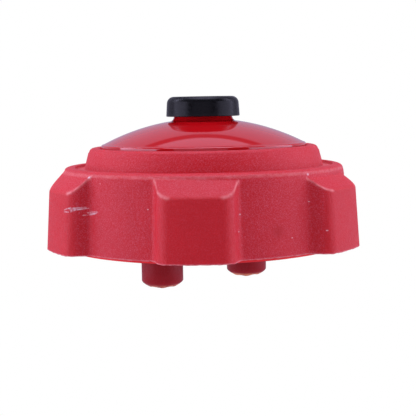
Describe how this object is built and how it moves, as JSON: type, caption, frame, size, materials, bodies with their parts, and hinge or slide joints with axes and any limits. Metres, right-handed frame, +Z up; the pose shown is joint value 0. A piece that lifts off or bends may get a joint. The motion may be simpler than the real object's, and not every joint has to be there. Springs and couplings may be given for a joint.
{
  "type": "vented filler cap",
  "caption": "Round screw cap with a lobed hand grip, a domed vent cover and a press-to-vent button, for the filler neck of a tank.",
  "frame": {"origin": "on the cap's axis, at the bottom rim of the closure and of its threaded plug", "axes": "+Z up along the cap's axis, from the plug to the vent button; one lobe of the grip points along -Y"},
  "size_m": [0.0718, 0.0768, 0.0445],
  "materials": {
    "grip_red": "fine moulded grain, matte",
    "dome_red": "polished, glossy",
    "closure_red": "moulded, satin",
    "button_black": "satin black",
    "black_rubber": "matte",
    "white_acetal": "satin",
    "steel": "zinc plated, satin",
    "spring_steel": "drawn wire, satin",
    "brass": "turned"
  },
  "bodies": {
    "closure": {"closure_body": "closure_red", "neck_gasket": "black_rubber", "thrust_washer": "white_acetal", "spring_retainer": "steel", "valve_circlip": "spring_steel", "relief_spring": "spring_steel"},
    "relief": {"relief_plate": "steel", "relief_seal": "black_rubber", "button_spring": "spring_steel"},
    "button": {"vent_button": "button_black", "button_stem": "steel", "vacuum_poppet": "brass", "vacuum_seal": "black_rubber", "spring_cup": "steel", "stem_clip": "spring_steel"},
    "grip": {"grip_shell": "grip_red", "dome_cover": "dome_red", "dome_seal": "black_rubber", "guide_bush": "white_acetal", "ratchet_ring": "white_acetal"}
  },
  "joints": [
    {"name": "grip_turn", "type": "hinge", "parent": "closure", "child": "grip", "pos_m": [0, 0, 0.0146], "axis": [0, 0, 1], "continuous": true},
    {"name": "relief_lift", "type": "slide", "parent": "closure", "child": "relief", "axis": [0, 0, 1], "range_m": [0, 0.0008], "stiffness_N_per_m": 800, "springref_m": -0.003, "deforming": ["relief_spring"]},
    {"name": "button_press", "type": "slide", "parent": "relief", "child": "button", "axis": [0, 0, -1], "range_m": [0, 0.0008], "stiffness_N_per_m": 400, "springref_m": -0.004, "deforming": ["button_spring"]}
  ]
}
